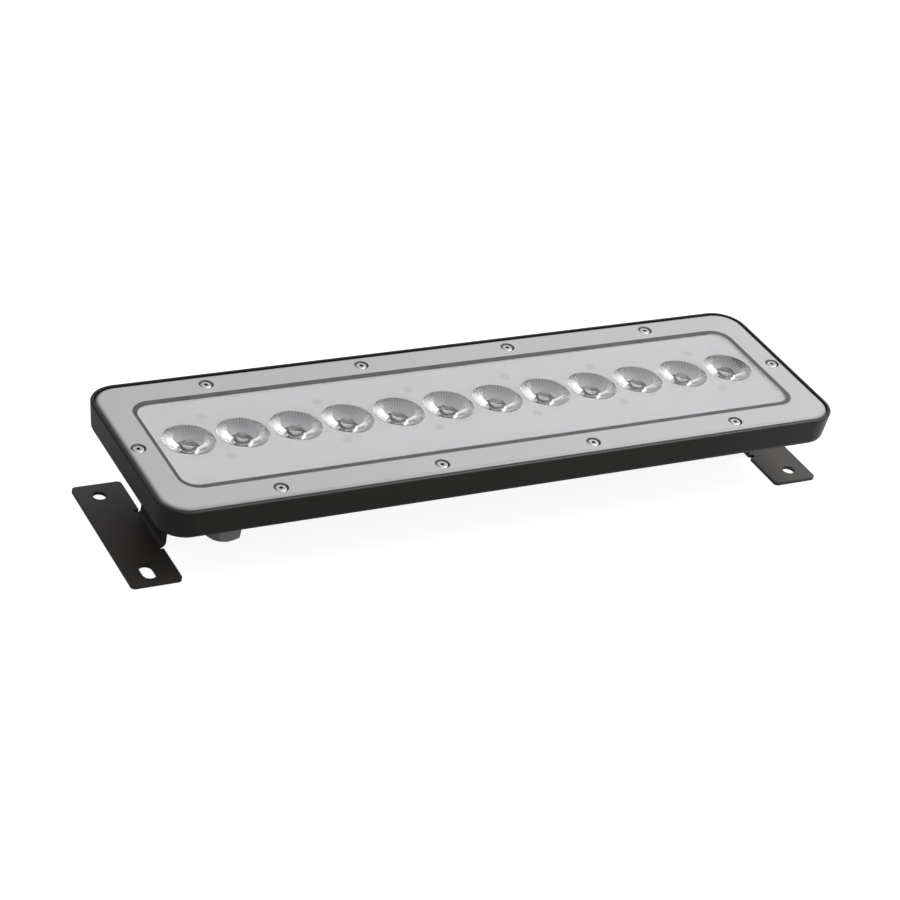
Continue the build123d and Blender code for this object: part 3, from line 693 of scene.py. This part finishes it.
# all between the lenses and below the bevel is etched: underside, side walls, skirt, flange and pillars
etched_below = plate_top - 0.0004
rounding = 1e-5
middles = np.zeros(len(moulding.data.polygons) * 3)
moulding.data.polygons.foreach_get("center", middles)
middles = middles.reshape(-1, 3)
index = np.clip(np.round(middles[:, 0] / lens_pitch + (lens_count - 1) / 2), 0, lens_count - 1)
from_axis = np.hypot(middles[:, 0] - (index - (lens_count - 1) / 2) * lens_pitch, middles[:, 1] - row_y)
etched = (middles[:, 2] < etched_below) & (from_axis > lens_radius - rounding)
moulding.data.polygons.foreach_set("material_index", etched.astype(np.int32))
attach(moulding, "root")
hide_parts("lens_plate")

# ---------------------------------------------------------------- LED board
# A white metal-core board with twelve ceramic LEDs under the lenses, each on a
# black disc, three regulators and a terminal block.  A soft grey pad lies
# under the board, and ten zinc-plated screws hold both.
disc_radius = 0.0075
disc_blur = 0.0003
disc_tone = (0.03, 0.03, 0.03, 1)
white_board = grained_finish("white_board", low=(0.80, 0.80, 0.81), high=(0.88, 0.88, 0.89),
                             rough=(0.35, 0.5), grain_scale=300.0, grain_depth=0.00001, specular=0.4)
tree, shader, place, mask_white = reopen(white_board)
on_board = split(tree, place)
pitches = reckon(tree, "FRACT", reckon(tree, "DIVIDE", on_board["X"], lens_pitch))
aside = reckon(tree, "MULTIPLY", reckon(tree, "SUBTRACT", pitches, 0.5), lens_pitch)
away = distance(tree, aside, reckon(tree, "SUBTRACT", on_board["Y"], row_y))
disc = ramp(tree, away, disc_radius + disc_blur, disc_radius - disc_blur, easing="LINEAR")
wire(tree, (mix_colours(tree, disc, mask_white, disc_tone), shader.inputs["Base Color"]))
dress(white_board, "led_board")

led_ceramic = grained_finish("led_ceramic", low=(0.72, 0.70, 0.60), high=(0.82, 0.80, 0.70),
                             rough=(0.2, 0.3), grain_scale=500.0, grain_depth=0.00001, specular=0.5)
dress(led_ceramic, "led_packages")
heat_pad = moulded_rubber("heat_pad", low=(0.20, 0.21, 0.23), high=(0.26, 0.27, 0.29), specular=0.2)
dress(heat_pad, "thermal_pad")
chip_black = grained_finish("chip_black", low=(0.010, 0.010, 0.010), high=(0.022, 0.022, 0.022),
                            rough=(0.4, 0.5), grain_scale=2500.0, grain_depth=0.00001, specular=0.4)
dress(chip_black, "regulator_chips")
terminal_grey = grained_finish("terminal_grey", low=(0.28, 0.29, 0.30), high=(0.34, 0.35, 0.36),
                               rough=(0.4, 0.5), grain_scale=900.0, grain_depth=0.00001, specular=0.4)
dress(terminal_grey, "terminal_block")
zinc_steel = grained_finish("zinc_steel", low=(0.45, 0.46, 0.47), high=(0.62, 0.62, 0.63),
                            rough=(0.28, 0.42), grain_scale=1100.0, grain_depth=0.00002, specular=0.5)
zinc_steel.node_tree.nodes["Principled BSDF"].inputs["Metallic"].default_value = 1.0
dress(zinc_steel, "board_screws")

# ---------------------------------------------------------------- cable gland
# A grey polyamide gland under the left front corner: body, dome nut, and the
# black rubber sleeve and gasket that seal the cable and the tray.
gland_grey = grained_finish("gland_grey", low=(0.23, 0.23, 0.235), high=(0.30, 0.30, 0.305),
                            rough=(0.35, 0.5), grain_scale=1300.0, grain_depth=0.00003, specular=0.4)
dress(gland_grey, "gland_body", "gland_nut")
black_rubber = moulded_rubber("black_rubber", low=(0.012, 0.012, 0.012), high=(0.024, 0.024, 0.024),
                              specular=0.3)
dress(black_rubber, "gland_cable_seal", "gland_gasket")

# ---------------------------------------------------------------- brackets
# Two Z-shaped feet folded from 2.5 mm steel sheet and powder coated black, a
# little lighter and duller than the tray, each held by two zinc-plated screws
# with plain and spring washers.
black_sheet = grained_finish("black_sheet", low=(0.026, 0.0232, 0.0212), high=(0.045, 0.0410, 0.0380),
                             rough=(0.38, 0.55), grain_scale=1200.0, grain_depth=0.00006, specular=0.35)
dress(black_sheet, "bracket_left", "bracket_right")
dress(zinc_steel, "bracket_screws_left", "bracket_screws_right", "bracket_washers_left",
      "bracket_washers_right", "spring_washers_left", "spring_washers_right")
